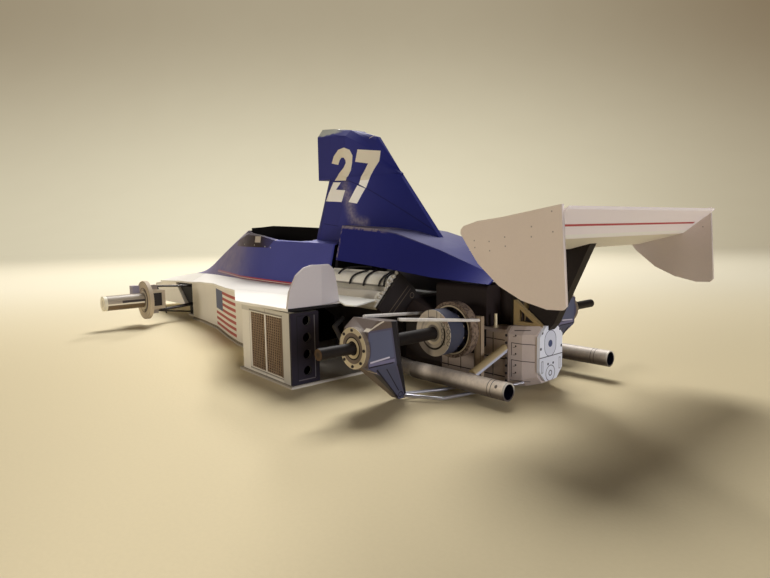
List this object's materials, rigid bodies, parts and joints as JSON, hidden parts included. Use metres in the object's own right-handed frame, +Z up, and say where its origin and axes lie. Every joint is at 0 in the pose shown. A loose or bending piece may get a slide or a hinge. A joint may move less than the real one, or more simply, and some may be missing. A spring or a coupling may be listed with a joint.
{
  "type": "card model of an open-wheel racing car without wheels",
  "caption": "Scale card model of a mid-1970s open-wheel racing car in blue and white, resting on its flat floor, with bare turning axle ends, rear wing and tall airbox fin.",
  "frame": {"origin": "middle of the car's length and width, on the table under its flat floor", "axes": "+X to the nose, +Y to the car's left side, +Z up"},
  "size_m": [0.1804, 0.0744, 0.0501],
  "materials": {
    "white_card": "matte white card",
    "blue_card": "satin printed blue card",
    "black_card": "matte black card",
    "grey_card": "printed blue-grey card",
    "beige_card": "printed beige card with dark lines",
    "silver_card": "card printed silver grey",
    "steel_wire": "bright wire",
    "dark_wire": "dark wire",
    "black_wood": "wooden stick painted black"
  },
  "bodies": {
    "car": {"airbox": "blue_card", "bellhousing": "grey_card", "breather_pin": "beige_card", "bulkhead": "black_card", "cam_cover_left": "silver_card", "cam_cover_right": "silver_card", "cockpit_liner": "black_card", "cowl": "blue_card", "deck_left": "white_card", "deck_right": "white_card", "engine_block": "grey_card", "engine_cover": "blue_card", "exhaust_hanger_left": "steel_wire", "exhaust_hanger_right": "steel_wire", "exhaust_left": "silver_card", "exhaust_right": "silver_card", "fence_left": "white_card", "fence_right": "white_card", "floor_pan": "white_card", "front_arms_left": "dark_wire", "front_arms_right": "dark_wire", "front_disc_left": "grey_card", "front_disc_right": "grey_card", "front_upright_left": "grey_card", "front_upright_right": "grey_card", "gearbox_case": "beige_card", "gearbox_rear": "beige_card", "manifold_left": "silver_card", "manifold_right": "silver_card", "nose": "white_card", "nose_deck": "white_card", "oil_tank": "black_card", "pylon_truss": "beige_card", "radiator_left": "white_card", "radiator_right": "white_card", "rear_brake_left": "beige_card", "rear_brake_right": "beige_card", "rear_lower_links_left": "steel_wire", "rear_lower_links_right": "steel_wire", "rear_upper_links_left": "steel_wire", "rear_upper_links_right": "steel_wire", "rear_upright_left": "grey_card", "rear_upright_right": "grey_card", "seat": "black_card", "side_left": "white_card", "side_right": "white_card", "tub_front": "black_card", "wing_endplate_left": "white_card", "wing_endplate_right": "white_card", "wing_plane": "white_card", "wing_pylon": "black_card"},
    "rear_axle_left": {"rear_shaft_left": "black_wood"},
    "front_axle_left": {"front_hub_left": "silver_card"},
    "rear_axle_right": {"rear_shaft_right": "black_wood"},
    "front_axle_right": {"front_hub_right": "silver_card"}
  },
  "joints": [
    {"name": "rear_axle_left_spin", "type": "hinge", "parent": "car", "child": "rear_axle_left", "pos_m": [-0.0598, 0.03, 0.00975], "axis": [0, 1, 0], "continuous": true},
    {"name": "front_axle_left_spin", "type": "hinge", "parent": "car", "child": "front_axle_left", "pos_m": [0.046, 0.025, 0.00745], "axis": [0, 1, 0], "continuous": true},
    {"name": "rear_axle_right_spin", "type": "hinge", "parent": "car", "child": "rear_axle_right", "pos_m": [-0.0598, -0.03, 0.00975], "axis": [0, 1, 0], "continuous": true},
    {"name": "front_axle_right_spin", "type": "hinge", "parent": "car", "child": "front_axle_right", "pos_m": [0.046, -0.025, 0.00745], "axis": [0, 1, 0], "continuous": true}
  ]
}
